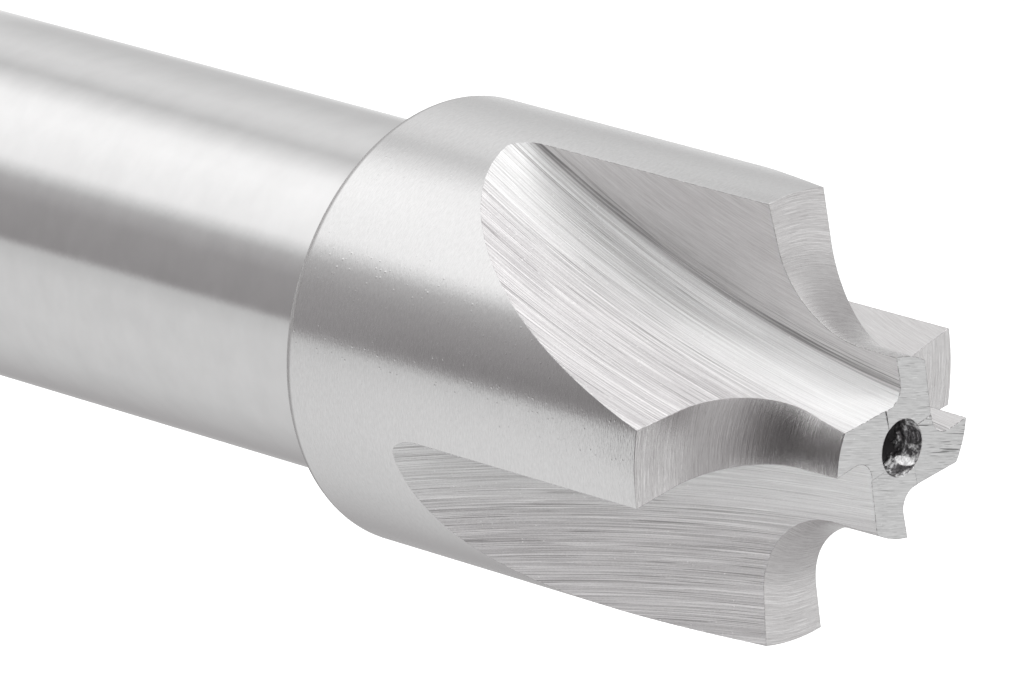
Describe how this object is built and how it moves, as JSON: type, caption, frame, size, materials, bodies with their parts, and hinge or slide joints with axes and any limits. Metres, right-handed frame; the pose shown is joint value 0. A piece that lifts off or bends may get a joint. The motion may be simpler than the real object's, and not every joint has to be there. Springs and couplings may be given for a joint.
{
  "type": "corner rounding end mill",
  "caption": "Milling cutter that rounds over an outside corner: straight flutes, concave quarter-round teeth, small flat nose, plain cylindrical shank.",
  "frame": {"origin": "middle of the flat end of the shank", "axes": "+Z along the tool's axis, from the shank to the cutting end; the cutting face of one tooth stands along +X and looks towards +Y"},
  "size_m": [0.0158, 0.0158, 0.0762],
  "materials": {
    "tool_steel": "bright ground flutes, teeth and shank, with a fine matt head"
  },
  "bodies": {
    "root": {"end_mill": "tool_steel"}
  },
  "joints": []
}
